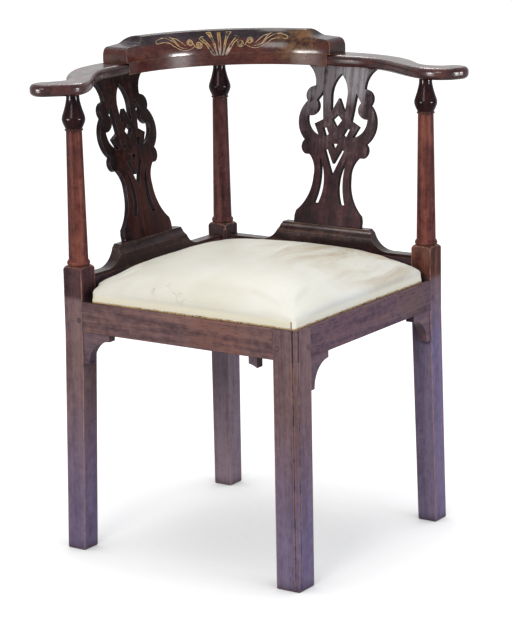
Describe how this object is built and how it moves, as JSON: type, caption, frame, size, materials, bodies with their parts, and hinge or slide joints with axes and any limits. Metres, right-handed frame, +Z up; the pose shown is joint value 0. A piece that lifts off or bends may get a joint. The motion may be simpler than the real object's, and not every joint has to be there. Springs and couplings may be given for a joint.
{
  "type": "corner chair",
  "caption": "Wooden corner chair with a carved crest rail, curved arms on turned posts, two pierced splats and a drop-in cream leather seat",
  "frame": {"origin": "centre of the chair's plan bounding box, at floor level", "axes": "+X to the sitter's left hand as seen from the front on the right, +Y from the front leg to the rear post, +Z up"},
  "size_m": [0.7332, 0.6544, 0.8331],
  "materials": {
    "dark_mahogany": "waxed and worn",
    "plain_softwood": "unfinished",
    "old_iron": "dull",
    "jute_webbing": "woven",
    "hessian_cloth": "woven",
    "hair_stuffing": "matted",
    "cream_leather": "soft worn"
  },
  "bodies": {
    "frame": {"front_leg": "dark_mahogany", "left_post": "dark_mahogany", "right_post": "dark_mahogany", "rear_post": "dark_mahogany", "front_left_rail": "dark_mahogany", "front_right_rail": "dark_mahogany", "back_left_rail": "dark_mahogany", "back_right_rail": "dark_mahogany", "left_shoe": "dark_mahogany", "right_shoe": "dark_mahogany", "left_splat": "dark_mahogany", "right_splat": "dark_mahogany", "left_arm": "dark_mahogany", "right_arm": "dark_mahogany", "crest_rail": "dark_mahogany", "left_bracket": "dark_mahogany", "right_bracket": "dark_mahogany", "front_right_bracket": "dark_mahogany", "front_left_bracket_stub": "dark_mahogany", "joint_pegs": "dark_mahogany", "front_glue_block": "plain_softwood", "left_glue_block": "plain_softwood", "right_glue_block": "plain_softwood", "rear_glue_block": "plain_softwood", "crest_screws": "old_iron", "shoe_nails": "old_iron", "bracket_nails": "old_iron", "glue_block_nails": "old_iron"},
    "seat": {"seat_frame_front_right": "plain_softwood", "seat_frame_front_left": "plain_softwood", "seat_frame_back_right": "plain_softwood", "seat_frame_back_left": "plain_softwood", "webbing_cross_1": "jute_webbing", "webbing_cross_2": "jute_webbing", "webbing_cross_3": "jute_webbing", "webbing_long_1": "jute_webbing", "webbing_long_2": "jute_webbing", "webbing_long_3": "jute_webbing", "seat_hessian": "hessian_cloth", "seat_stuffing": "hair_stuffing", "seat_cover": "cream_leather", "cover_tacks": "old_iron", "webbing_tacks": "old_iron"}
  },
  "joints": [
    {"name": "seat_lift", "type": "slide", "parent": "frame", "child": "seat", "axis": [0, 0, 1], "range_m": [0, 0.15]}
  ]
}
